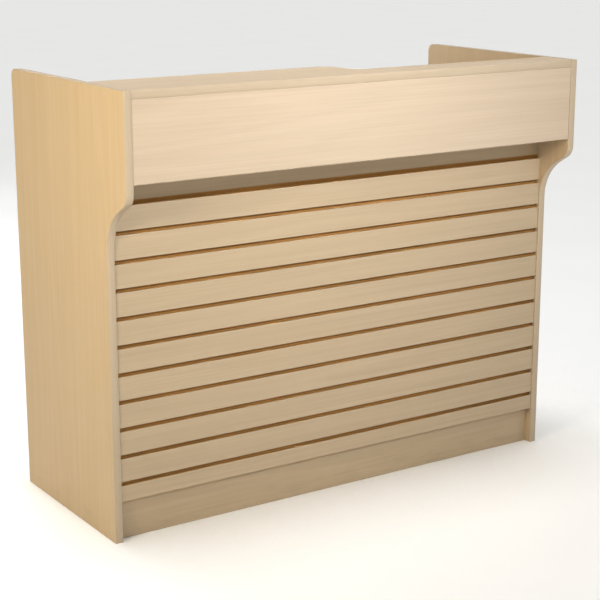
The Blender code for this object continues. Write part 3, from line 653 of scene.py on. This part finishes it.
# a grooved panel: one groove's outline repeated up the face, closed by the back, filled, pushed along
def slatwallTree():
    sockets = [("Groove", "Object"), ("Repeats", "Int"), ("Pitch", "Float"), ("Length", "Float")]
    sockets += [("Thickness", "Float"), ("Place", "Vector"), ("Raw", "Material"), ("Finish", "Material")]
    tree, given, identifiers = startTree("slatwallPanel", sockets)
    link = tree.links.new
    groove = put(tree, "GeometryNodeObjectInfo")
    link(given.outputs["Groove"], groove.inputs["Object"])
    step = put(tree, "ShaderNodeCombineXYZ")
    link(given.outputs["Pitch"], step.inputs["Y"])
    ladder = put(tree, "GeometryNodeMeshLine", mode="OFFSET")
    link(given.outputs["Repeats"], ladder.inputs["Count"])
    link(step.outputs[0], ladder.inputs["Offset"])
    copies = put(tree, "GeometryNodeInstanceOnPoints")
    link(ladder.outputs[0], copies.inputs["Points"])
    link(groove.outputs["Geometry"], copies.inputs["Instance"])
    chain = fed(tree, "GeometryNodeRealizeInstances", copies.outputs[0])
    both = put(tree, "GeometryNodeJoinGeometry")
    link(chain.outputs[0], both.inputs[0])
    link(given.outputs["Geometry"], both.inputs[0])
    closed = fed(tree, "GeometryNodeMergeByDistance", both.outputs[0], {"Distance": seamDistance})
    loop = fed(tree, "GeometryNodeMeshToCurve", closed.outputs[0])
    flat = put(tree, "GeometryNodeFillCurve", mode="NGONS")
    link(loop.outputs[0], flat.inputs["Curve"])
    pushed = put(tree, "GeometryNodeExtrudeMesh", {"Individual": False}, mode="FACES")
    link(flat.outputs[0], pushed.inputs["Mesh"])
    link(given.outputs["Length"], pushed.inputs["Offset Scale"])
    turnedEnd = fed(tree, "GeometryNodeFlipFaces", flat.outputs[0])
    capped = put(tree, "GeometryNodeJoinGeometry")
    link(pushed.outputs[0], capped.inputs[0])
    link(turnedEnd.outputs[0], capped.inputs[0])
    whole = fed(tree, "GeometryNodeMergeByDistance", capped.outputs[0], {"Distance": seamDistance})
    upright = (math.radians(90), 0.0, math.radians(90))  # outline's X, Y and push become Y, Z and X
    stood = put(tree, "GeometryNodeTransform", {"Rotation": upright})
    link(whole.outputs[0], stood.inputs["Geometry"])
    link(given.outputs["Place"], stood.inputs["Translation"])
    # faces strictly between the panel's face and its back were cut open, and show the raw board
    spot = put(tree, "GeometryNodeInputPosition")
    fromFace = fed(tree, "ShaderNodeVectorMath", spot.outputs[0], operation="SUBTRACT")
    link(given.outputs["Place"], fromFace.inputs[1])
    depth = fed(tree, "ShaderNodeSeparateXYZ", fromFace.outputs[0])
    inward = depth.outputs["Y"]
    thickness = given.outputs["Thickness"]
    behindFace = fed(tree, "FunctionNodeCompare", inward, {"B": faceSkin}, operation="GREATER_THAN")
    nearBack = fed(tree, "ShaderNodeMath", thickness, {1: backSkin}, operation="SUBTRACT")
    beforeBack = fed(tree, "FunctionNodeCompare", inward, operation="LESS_THAN")
    link(nearBack.outputs[0], beforeBack.inputs[1])
    inside = fed(tree, "FunctionNodeBooleanMath", behindFace.outputs[0], operation="AND")
    link(beforeBack.outputs[0], inside.inputs[1])
    real = fed(tree, "GeometryNodeRealizeInstances", stood.outputs[0])
    skin = put(tree, "GeometryNodeSetMaterial")
    link(real.outputs[0], skin.inputs["Geometry"])
    link(given.outputs["Finish"], skin.inputs["Material"])
    cutFaces = put(tree, "GeometryNodeSetMaterial")
    link(skin.outputs[0], cutFaces.inputs["Geometry"])
    link(inside.outputs[0], cutFaces.inputs["Selection"])
    link(given.outputs["Raw"], cutFaces.inputs["Material"])
    out = put(tree, "NodeGroupOutput")
    link(cutFaces.outputs[0], out.inputs[0])
    return tree, identifiers


tapeMaker = tapeTree()
rodMaker = rodTree()
fastenerMaker = fastenerTree()
slatwallMaker = slatwallTree()
print("counter: geometry trees ready")

tape = {"thickness": 0.0010, "rounding": 0.0004, "steps": 8}
core = {"easedEdge": 0.00025, "sharpAngle": 30.0}


def evenly(start, end):
    start = Vector(start)
    steps = tape["steps"]
    return [start.lerp(Vector(end), step / steps) for step in range(steps + 1)]


# a strip of edge tape whose middle line runs through the points
def layTape(name, node, points, across, width):
    strip = polyline(name, points)
    values = {"Width": width, "Thickness": tape["thickness"], "Rounding": tape["rounding"]}
    grow(strip, tapeMaker, {**values, "Across": across, "Finish": mapleTape()})
    softShade(strip)
    mount(strip, node)


# left_end_panel becomes leftEndPanel
def words(node):
    first, *rest = node.split("_")
    return first + "".join(word.capitalize() for word in rest)


# a straight board: a laminate core, and tape on each side named such as "+Y-Z"
def tapedBoard(node, grain, sides, seed, tint=plainTint, holes=()):
    low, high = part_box(node)
    size = high - low
    thin = min(range(3), key=lambda index: size[index])
    strips = []
    for sign, letter in zip(sides[0::2], sides[1::2]):
        axis = "XYZ".index(letter)
        corner, inwards = (high, -1) if sign == "+" else (low, 1)
        ends = [low.copy(), high.copy()]
        for end in ends:
            end[axis] = corner[axis] + inwards * tape["thickness"] / 2
            end[thin] = (low[thin] + high[thin]) / 2
        strips.append(({"+": "High", "-": "Low"}[sign] + letter, ends))
        corner[axis] += inwards * tape["thickness"]
    bm = bmesh.new()
    bmesh.ops.create_cube(bm, size=1.0)
    bmesh.ops.scale(bm, vec=high - low, verts=bm.verts[:])
    bmesh.ops.translate(bm, vec=(low + high) / 2, verts=bm.verts[:])
    board = newObject(words(node), bm, [mapleLaminate(grain, seed, tint)])
    easeEdges(board, core["easedEdge"])
    if holes:
        drilled(board, holes)
    mount(board, node, [node])
    across = [1.0 if index == thin else 0.0 for index in range(3)]
    for side, ends in strips:
        layTape(words(node) + "Tape" + side, node, evenly(*ends), across, size[thin])


panelShape = {
    "overhang": 0.1016,
    "noseRadius": 0.0365,
    "noseHeight": 0.8435,
    "hollowRadius": 0.1175,
    "hollowHeight": 0.695,
    "rearRadius": 0.019,
    "arcSteps": 28,
    "rearSteps": 10,
}
# the tints are painted light: warmer on the left panel where the warm side lamp falls, partly also that
# sheet's own warmer tone, and a milder cast on the right panel
panelLooks = {
    "left": {"seed": 21, "tint": (1.02, 0.94, 0.75)},
    "right": {"seed": 22, "tint": (0.98, 0.95, 0.88)},
}
pinHoles = {"radius": 0.0029, "depth": 0.011, "rows": 2, "rowStep": 0.032, "overrun": 0.003}


# the taped edge of an end panel in Y and Z: up the back, over the top, down the nose and hollow
def panelPath(node, inset):
    low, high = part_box(node)
    shape = panelShape
    steps = shape["arcSteps"]
    lowerFront = low.y + shape["overhang"]
    hollow = (lowerFront - shape["hollowRadius"], shape["hollowHeight"])
    nose = (low.y + shape["noseRadius"], shape["noseHeight"])
    reach = math.hypot(nose[0] - hollow[0], nose[1] - hollow[1])
    lean = math.atan2(nose[1] - hollow[1], nose[0] - hollow[0])
    sweep = math.degrees(lean - math.acos((shape["hollowRadius"] + shape["noseRadius"]) / reach))
    rear = (high.y - shape["rearRadius"], high.z - shape["rearRadius"])
    path = [(high.y - inset, 0.0), (high.y - inset, rear[1] / 2)]
    path += arc(rear, shape["rearRadius"] - inset, 0, 90, shape["rearSteps"])
    path += [((rear[0] + low.y) / 2, high.z - inset), (low.y + inset, high.z - inset)]
    path += arc(nose, shape["noseRadius"] - inset, 180, 180 + sweep, steps)
    path += arc(hollow, shape["hollowRadius"] + inset, sweep, 0, steps)
    path += [(lowerFront + inset, hollow[1] / 2), (lowerFront + inset, 0.0)]
    return path


# drill bars for the rows of pin holes on both sides of each shelf pin
def pinBars(side, faceX, into):
    bars = []
    for number in (1, 2):
        low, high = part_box(side + "_shelf_pin_" + str(number))
        centre = (low + high) / 2
        ends = sorted((faceX - into * pinHoles["overrun"], faceX + into * pinHoles["depth"]))
        for row in range(-pinHoles["rows"], pinHoles["rows"] + 1):
            spot = (faceX, centre.y, centre.z + row * pinHoles["rowStep"])
            bars.append(("X", spot, pinHoles["radius"], *ends))
    return bars


def endPanels():
    for side, look in panelLooks.items():
        node = side + "_end_panel"
        low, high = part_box(node)
        path = panelPath(node, tape["thickness"])
        bm = pushedOutline(path, "X", low.x, high.x)
        panel = newObject(words(node), bm, [mapleLaminate("Z", look["seed"], look["tint"])])
        easeEdges(panel, core["easedEdge"])
        drilled(panel, pinBars(side, high.x, -1) if side == "left" else pinBars(side, low.x, 1))
        softShade(panel, core["sharpAngle"])
        mount(panel, node, [node])
        middle = (low.x + high.x) / 2
        points = [(middle, y, z) for y, z in panelPath(node, tape["thickness"] / 2)]
        layTape(words(node) + "Tape", node, points, (1.0, 0.0, 0.0), high.x - low.x)


slatwall = {
    "mouth": 0.0095,
    "tee": 0.022,
    "lip": 0.0055,
    "depth": 0.012,
    "lipEase": 0.0005,
    "pitch": 0.066,
    "lowestGroove": 0.143,
    "grooves": 11,
    "seed": 31,
    # the tint is painted shade: the slats darker than the fascia above, for the light falling off
    # downwards
    "tint": (0.91, 0.89, 0.84),
}


def slatwallPanel():
    low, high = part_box("slatwall_panel")
    shape = slatwall
    mouth = shape["mouth"] / 2
    tee = shape["tee"] / 2
    ease = shape["lipEase"]
    bulge = ease * 0.3  # how far the middle of the eased lip stands back from its corner
    lower = [(0, -mouth - ease), (bulge, -mouth - bulge), (ease, -mouth), (shape["lip"], -mouth)]
    lower += [(shape["lip"], -tee), (shape["depth"], -tee)]
    upper = [(depth, -height) for depth, height in reversed(lower)]
    nextGroove = (0, shape["pitch"] - mouth - ease)
    groove = polyline("grooveOutline", [(x, y, 0) for x, y in lower + upper + [nextGroove]])
    thickness = high.y - low.y
    foot = low.z - shape["lowestGroove"]
    top = high.z - shape["lowestGroove"]
    lastGroove = (shape["grooves"] - 1) * shape["pitch"]
    closing = [(depth, height + lastGroove) for depth, height in lower]
    closing += [(shape["depth"], top), (thickness, top), (thickness, foot)]
    closing += [(ease, foot), (0, foot + ease), (0, -mouth - ease)]
    panel = polyline("slatwallPanel", [(x, y, 0) for x, y in closing])
    values = {
        "Groove": groove,
        "Repeats": shape["grooves"] - 1,
        "Pitch": shape["pitch"],
        "Length": high.x - low.x,
        "Thickness": thickness,
        "Place": (low.x, low.y, shape["lowestGroove"]),
        "Raw": rawBoard(),
        "Finish": mapleLaminate("X", shape["seed"], shape["tint"]),
    }
    grow(panel, slatwallMaker, values)
    bpy.data.objects.remove(groove)
    mount(panel, "slatwall_panel", ["slatwall_panel"])


ledgeStep = {"radius": 0.038, "startX": -0.019, "nosing": 0.001, "steps": 20}


# the rear edge of the ledge top in X and Y: deep, then an S-curve, then narrow
def ledgePath(inset):
    low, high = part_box("ledge_top")
    radius = ledgeStep["radius"]
    startX = ledgeStep["startX"]
    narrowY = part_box("ledge_riser")[1].y + ledgeStep["nosing"]
    outer = (startX, high.y - radius)
    inner = (startX + 2 * radius, narrowY + radius)
    path = [(low.x, high.y - inset), ((low.x + startX) / 2, high.y - inset)]
    path += arc(outer, radius - inset, 90, 0, ledgeStep["steps"])
    path += arc(inner, radius + inset, 180, 270, ledgeStep["steps"])
    path += [((inner[0] + high.x) / 2, narrowY - inset), (high.x, narrowY - inset)]
    return path


def ledgeTop():
    low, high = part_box("ledge_top")
    frontY = low.y + tape["thickness"]
    outline = ledgePath(tape["thickness"]) + [(high.x, frontY), (low.x, frontY)]
    bm = pushedOutline(outline, "Z", low.z, high.z)
    board = newObject("ledgeTop", bm, [mapleLaminate("X", 41)])
    easeEdges(board, core["easedEdge"])
    softShade(board, core["sharpAngle"])
    mount(board, "ledge_top", ["ledge_top"])
    height = (low.z + high.z) / 2
    width = high.z - low.z
    rear = [(x, y, height) for x, y in ledgePath(tape["thickness"] / 2)]
    layTape("ledgeTopRearTape", "ledge_top", rear, (0.0, 0.0, 1.0), width)
    edgeY = low.y + tape["thickness"] / 2
    front = evenly((low.x, edgeY, height), (high.x, edgeY, height))
    layTape("ledgeTopFrontTape", "ledge_top", front, (0.0, 0.0, 1.0), width)


# the bay divider, notched for the rail, taped on the operator's edge
def dividerBoard():
    low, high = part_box("bay_divider")
    railLow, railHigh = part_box("upper_front_rail")
    notchY = railHigh.y + hairGap
    notchZ = railLow.z - hairGap
    rearY = high.y - tape["thickness"]
    outline = [(low.y, low.z), (rearY, low.z), (rearY, high.z)]
    outline += [(notchY, high.z), (notchY, notchZ), (low.y, notchZ)]
    bm = pushedOutline(outline, "X", low.x, high.x)
    board = newObject("bayDivider", bm, [mapleLaminate("Z", 51)])
    easeEdges(board, core["easedEdge"])
    drilled(board, pinBars("left", low.x, 1) + pinBars("right", high.x, -1))
    mount(board, "bay_divider", ["bay_divider"])
    edgeY = high.y - tape["thickness"] / 2
    middle = (low.x + high.x) / 2
    points = evenly((middle, edgeY, low.z), (middle, edgeY, high.z))
    layTape("bayDividerTape", "bay_divider", points, (1.0, 0.0, 0.0), high.x - low.x)


grommet = {"holeRadius": 0.0305, "overrun": 0.03}
grommetLow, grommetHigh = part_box("grommet_sleeve")
grommetEnds = (grommetLow.z - grommet["overrun"], grommetHigh.z + grommet["overrun"])
grommetHole = ("Z", (grommetLow + grommetHigh) / 2, grommet["holeRadius"], *grommetEnds)
boards = {  # seed picks the part of the print; the tint is painted light and shade, lighter on the fascia nearest the lamp, darker on the rail in the ledge's shadow and on the kick low down
    "ledge_fascia": {"grain": "X", "taped": "-Z", "seed": 61, "tint": (1.06, 1.07, 1.13)},
    "ledge_riser": {"grain": "X", "taped": "", "seed": 62},
    "ledge_soffit": {"grain": "X", "taped": "", "seed": 63},
    "ledge_support": {"grain": "Z", "taped": "+Y", "seed": 64},
    "upper_front_rail": {"grain": "X", "taped": "", "seed": 65, "tint": (0.88, 0.87, 0.78)},
    "front_kick_board": {"grain": "X", "taped": "", "seed": 66, "tint": (0.93, 0.91, 0.84)},
    "rear_kick_board": {"grain": "X", "taped": "", "seed": 67},
    "worktop": {"grain": "X", "taped": "+Y", "seed": 68, "holes": [grommetHole]},
    "base_deck": {"grain": "X", "taped": "+Y", "seed": 69},
    "left_shelf": {"grain": "X", "taped": "+Y", "seed": 70},
    "right_shelf": {"grain": "X", "taped": "+Y", "seed": 71},
}

endPanels()
slatwallPanel()
ledgeTop()
dividerBoard()
for node, look in boards.items():
    tint = look.get("tint", plainTint)
    tapedBoard(node, look["grain"], look["taped"], look["seed"], tint, look.get("holes", ()))
print("counter: boards and edge tape done")

lockLow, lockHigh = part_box("lock_housing")
lockCentre = (lockLow + lockHigh) / 2
drawerHoles = {"lock": 0.0098, "screw": 0.0023, "overrun": 0.03}  # radii, and how far a drill runs past


def pullBars():
    bars = []
    for side in ("left", "right"):
        low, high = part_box("pull_screw_" + side)
        ends = (low.y - drawerHoles["overrun"], high.y + drawerHoles["overrun"])
        bars.append(("Y", (low + high) / 2, drawerHoles["screw"], *ends))
    return bars


def drawerFront():
    low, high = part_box("drawer_front")
    ends = (low.y - drawerHoles["overrun"], high.y + drawerHoles["overrun"])
    bars = pullBars() + [("Y", lockCentre, drawerHoles["lock"], *ends)]
    tapedBoard("drawer_front", "X", "+X-X+Z-Z", 72, holes=bars)


def drawerBox():
    for node, grain, stack in (
        ("drawer_side_left", "Y", "X"),
        ("drawer_side_right", "Y", "X"),
        ("drawer_back", "X", "Y"),
        ("drawer_box_front", "X", "Y"),
        ("drawer_bottom", "X", "Z"),
    ):
        refined(node, words(node), drawerPly(grain, stack), 50.0)


pull = {"radius": 0.004, "bend": 0.010, "bendSteps": 12, "sides": 28}


# wire pull: a rod bent twice between its two screws
def drawerPull():
    low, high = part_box("drawer_pull")
    radius = pull["radius"]
    bend = pull["bend"]
    left = low.x + radius
    right = high.x - radius
    bar = high.y - radius
    height = (low.z + high.z) / 2
    path = [(left, low.y)] + arc((left + bend, bar - bend), bend, 180, 90, pull["bendSteps"])
    path += arc((right - bend, bar - bend), bend, 90, 0, pull["bendSteps"]) + [(right, low.y)]
    rod = polyline("drawerPull", [(x, y, height) for x, y in path])
    grow(rod, rodMaker, {"Radius": radius, "Sides": pull["sides"], "Finish": metal("satinNickel")})
    softShade(rod, 50.0)
    mount(rod, "drawer_pull", ["drawer_pull"])


drawerFront()
drawerBox()
drawerPull()
print("counter: drawer done")

screw = {
    "headRadius": 0.0042,
    "headHeight": 0.0024,
    "shankRadius": 0.0018,
    "shankLength": 0.0022,
    "slotWidth": 0.0010,
    "slotReach": 0.0046,
    "slotDepth": 0.0013,
    "sides": 20,
    # shares of the head's radius and height
    "dome": ((1.0, 0.30), (0.92, 0.62), (0.70, 0.88), (0.35, 1.0)),
}


# one screw along +Z, its head's seat at the origin
def panHeadScrew(name):
    shape = screw
    head = shape["headRadius"]
    tall = shape["headHeight"]
    bm = bmesh.new()
    shank = shape["shankRadius"]
    profile = [(shank, -shape["shankLength"]), (shank, 0.0), (head, 0.0)]
    profile += [(head * across, tall * up) for across, up in shape["dome"]]
    rings = []
    for radius, height in profile:
        ring = []
        for side in range(shape["sides"]):
            angle = 2 * math.pi * side / shape["sides"]
            ring.append(bm.verts.new((radius * math.cos(angle), radius * math.sin(angle), height)))
        rings.append(ring)
    bm.faces.new(rings[0])
    bm.faces.new(rings[-1])
    for near, far in zip(rings, rings[1:]):
        for side in range(shape["sides"]):
            after = (side + 1) % shape["sides"]
            bm.faces.new((near[side], near[after], far[after], far[side]))
    item = newObject(name, bm, [])
    cutterMesh = bmesh.new()
    for turn in (0, 90):
        matrix = Matrix.Rotation(math.radians(turn), 4, "Z") @ Matrix.Translation((0, 0, tall))
        size = (shape["slotReach"], shape["slotWidth"], shape["slotDepth"] * 2, 1.0)
        bmesh.ops.create_cube(cutterMesh, size=1.0, matrix=matrix @ Matrix.Diagonal(size))
    carved(item, newObject(name + "Cross", cutterMesh, []), crossing=True)
    softShade(item)
    return item


# points with a facing each, the input of the fastener tree
def fastenerPoints(name, places):
    mesh = bpy.data.meshes.new(name)
    mesh.from_pydata([spot for spot, facing in places], [], [])
    facings = mesh.attributes.new("facing", "FLOAT_VECTOR", "POINT")
    for number, (spot, facing) in enumerate(places):
        facings.data[number].vector = facing
    return placed(name, mesh)


bracket = {"count": 8, "leg": 0.028, "metal": 0.002, "holeShare": 0.62, "screwGap": 0.0001, "seed": 7}


# seats of both screws on each angle bracket, worked out from where its corner is
def bracketPlaces():
    places = []
    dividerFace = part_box("bay_divider")[1].x
    reach = bracket["leg"] * bracket["holeShare"]
    lift = bracket["metal"] + bracket["screwGap"]
    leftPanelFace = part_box("left_end_panel")[1].x
    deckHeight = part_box("base_deck")[1].z
    near = bracket["metal"]
    for number in range(1, bracket["count"] + 1):
        low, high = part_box("corner_bracket_" + str(number))
        middle = (low + high) / 2
        onLeft = abs(low.x - leftPanelFace) < near or abs(low.x - dividerFace) < near
        onDeck = abs(low.z - deckHeight) < near
        inwards = 1 if onLeft else -1
        up = 1 if onDeck else -1
        cornerX = low.x if onLeft else high.x
        cornerZ = low.z if onDeck else high.z
        wall = (cornerX + inwards * lift, middle.y, cornerZ + up * reach)
        flat = (cornerX + inwards * reach, middle.y, cornerZ + up * lift)
        places.append((wall, (inwards, 0, 0)))
        places.append((flat, (0, 0, up)))
    return places


def bracketScrews():
    one = panHeadScrew("oneScrew")
    item = fastenerPoints("bracketScrews", bracketPlaces())
    values = {"Fastener": one, "Seed": bracket["seed"], "Finish": metal("zincSteel")}
    grow(item, fastenerMaker, values)
    bpy.data.objects.remove(one)
    mount(item, "corner_bracket_1")


ballRows = {
    "radius": 0.00098,
    "count": 9,
    "pitch": 0.013,
    "starts": {"outer": 0.02, "inner": 0.215},  # from the front end of the outer member
    "channelMetal": 0.0012,
    "seed": 3,
}


# rows of steel balls between the channels, which travel with the middle members
def slideBalls():
    bm = bmesh.new()
    bmesh.ops.create_icosphere(bm, subdivisions=2, radius=ballRows["radius"])
    one = newObject("oneBall", bm, [])
    softShade(one, 80.0)
    for side in ("left", "right"):
        outerLow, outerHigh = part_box("slide_outer_" + side)
        middleLow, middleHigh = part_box("slide_middle_" + side)
        innerLow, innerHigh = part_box("slide_inner_" + side)
        metalSheet = ballRows["channelMetal"]
        outerGap = (outerHigh.z - metalSheet + middleHigh.z) / 2
        innerGap = (middleHigh.z - metalSheet + innerHigh.z) / 2
        centreZ = (outerLow.z + outerHigh.z) / 2
        outerX = (middleLow.x + middleHigh.x) / 2
        innerX = (max(middleLow.x, innerLow.x) + min(middleHigh.x, innerHigh.x)) / 2
        places = []
        for row, rowX, rowZ in (("outer", outerX, outerGap), ("inner", innerX, innerGap)):
            for height in (rowZ, 2 * centreZ - rowZ):
                for number in range(ballRows["count"]):
                    along = outerLow.y + ballRows["starts"][row] + number * ballRows["pitch"]
                    places.append(((rowX, along, height), (0, 0, 1)))
        item = fastenerPoints(side + "SlideBalls", places)
        values = {"Fastener": one, "Seed": ballRows["seed"], "Finish": metal("satinNickel")}
        grow(item, fastenerMaker, values)
        mount(item, "slide_middle_" + side)
    bpy.data.objects.remove(one)


shelfPins = 4


def smallParts():
    zinc = metal("zincSteel")
    nickel = metal("satinNickel")
    for number in range(1, bracket["count"] + 1):
        node = "corner_bracket_" + str(number)
        refined(node, words(node), zinc)
    for side in ("left", "right"):
        for number in range(1, shelfPins + 1):
            node = side + "_shelf_pin_" + str(number)
            refined(node, words(node), zinc, 60.0)
        for member in ("outer", "middle", "inner"):
            node = "slide_" + member + "_" + side
            refined(node, words(node), zinc)
        node = "pull_screw_" + side
        refined(node, words(node), zinc)
    for node in ("lock_nut", "lock_cam", "cam_screw", "lock_strike"):
        refined(node, words(node), zinc)
    for node in ("lock_housing", "lock_plug"):
        refined(node, words(node), nickel)
    for node in ("grommet_sleeve", "grommet_cap"):
        refined(node, words(node), blackPlastic())
    for node in ("fascia_cleat", "riser_cleat"):
        refined(node, words(node), softwood())


bracketScrews()
slideBalls()
smallParts()
print("counter: hardware done")

camera = {
    "place": (-2.133, -3.201, 1.431),
    "turn": 33.59,
    "dip": 14.21,
    "lens": 91.6,
    "sensor": 36.0,
    "farthest": 200.0,
}
studio = {
    "worldColour": (1.0, 1.0, 1.0),
    "worldStrength": 0.36,
    "overhead": 1.60,
    "overheadSize": 30.0,
    "floorSide": 120.0,
    "floorDrop": 0.0004,  # keeps the floor clear of the feet's undersides
    "floorColour": (0.94, 0.94, 0.93),
    "floorDim": 0.985,  # the darker patches, as a share of the colour
    "floorCloud": 2.0,
    "floorRoughness": 0.9,
    "floorShine": 0.1,
}
lamps = {  # where it hangs, what it points at, width and height, spread, watts, colour
    "keyLight": ((0.0, -7.80, 5.15), (-0.02, -0.29, 1.20), (0.5, 0.5), 17, 7.6, (0.94, 0.97, 1.0)),
    "sideLight": ((-2.4, -0.95, 1.35), (-0.60, -0.22, 0.98), (0.5, 0.5), 95, 10.2, (1.0, 0.90, 0.66)),
    "backLight": ((-0.7, 2.3, 2.7), (0.0, 0.2, 0.6), (1.6, 1.6), 180, 32.0, (1.0, 1.0, 1.0)),
}


def makeCamera():
    data = bpy.data.cameras.new("camera")
    data.lens = camera["lens"]
    data.sensor_width = camera["sensor"]
    data.clip_end = camera["farthest"]
    item = placed("camera", data)
    item.location = camera["place"]
    item.rotation_euler = (math.radians(90 - camera["dip"]), 0.0, math.radians(-camera["turn"]))
    bpy.context.scene.camera = item


def makeFloor():
    half = studio["floorSide"] / 2
    bm = bmesh.new()
    bmesh.ops.create_grid(bm, x_segments=1, y_segments=1, size=half)
    bmesh.ops.translate(bm, vec=(0, 0, -studio["floorDrop"]), verts=bm.verts[:])
    material, tree, shader = newMaterial("paleFloor")
    coords = objectCoords(tree)
    cloud = noise(tree, coords, studio["floorCloud"], 3.0, 0.5)
    pale = studio["floorColour"]
    dim = tuple(channel * studio["floorDim"] for channel in pale)
    tree.links.new(ramp(tree, cloud, ((0.3, dim), (0.7, pale))), shader.inputs["Base Color"])
    shader.inputs["Roughness"].default_value = studio["floorRoughness"]
    shader.inputs["Specular IOR Level"].default_value = studio["floorShine"]
    floor = newObject("floor", bm, [material])


def makeLight():
    world = bpy.data.worlds.new("studio")
    world.use_nodes = True
    background = world.node_tree.nodes["Background"]
    background.inputs["Color"].default_value = (*studio["worldColour"], 1.0)
    background.inputs["Strength"].default_value = studio["worldStrength"]
    bpy.context.scene.world = world
    data = bpy.data.lights.new("overhead", "SUN")
    data.energy = studio["overhead"]
    data.angle = math.radians(studio["overheadSize"])
    placed("overhead", data)
    for name, (place, aim, size, reach, watts, colour) in lamps.items():
        data = bpy.data.lights.new(name, "AREA")
        data.shape = "RECTANGLE"
        data.size, data.size_y = size
        data.spread = math.radians(reach)
        data.energy = watts
        data.color = colour
        item = placed(name, data)
        item.location = place
        item.rotation_euler = (Vector(place) - Vector(aim)).to_track_quat("Z", "Y").to_euler()
        item.visible_camera = False


makeCamera()
makeFloor()
makeLight()
bpy.context.scene.view_settings.view_transform = "Standard"
print("counter: camera and light done")
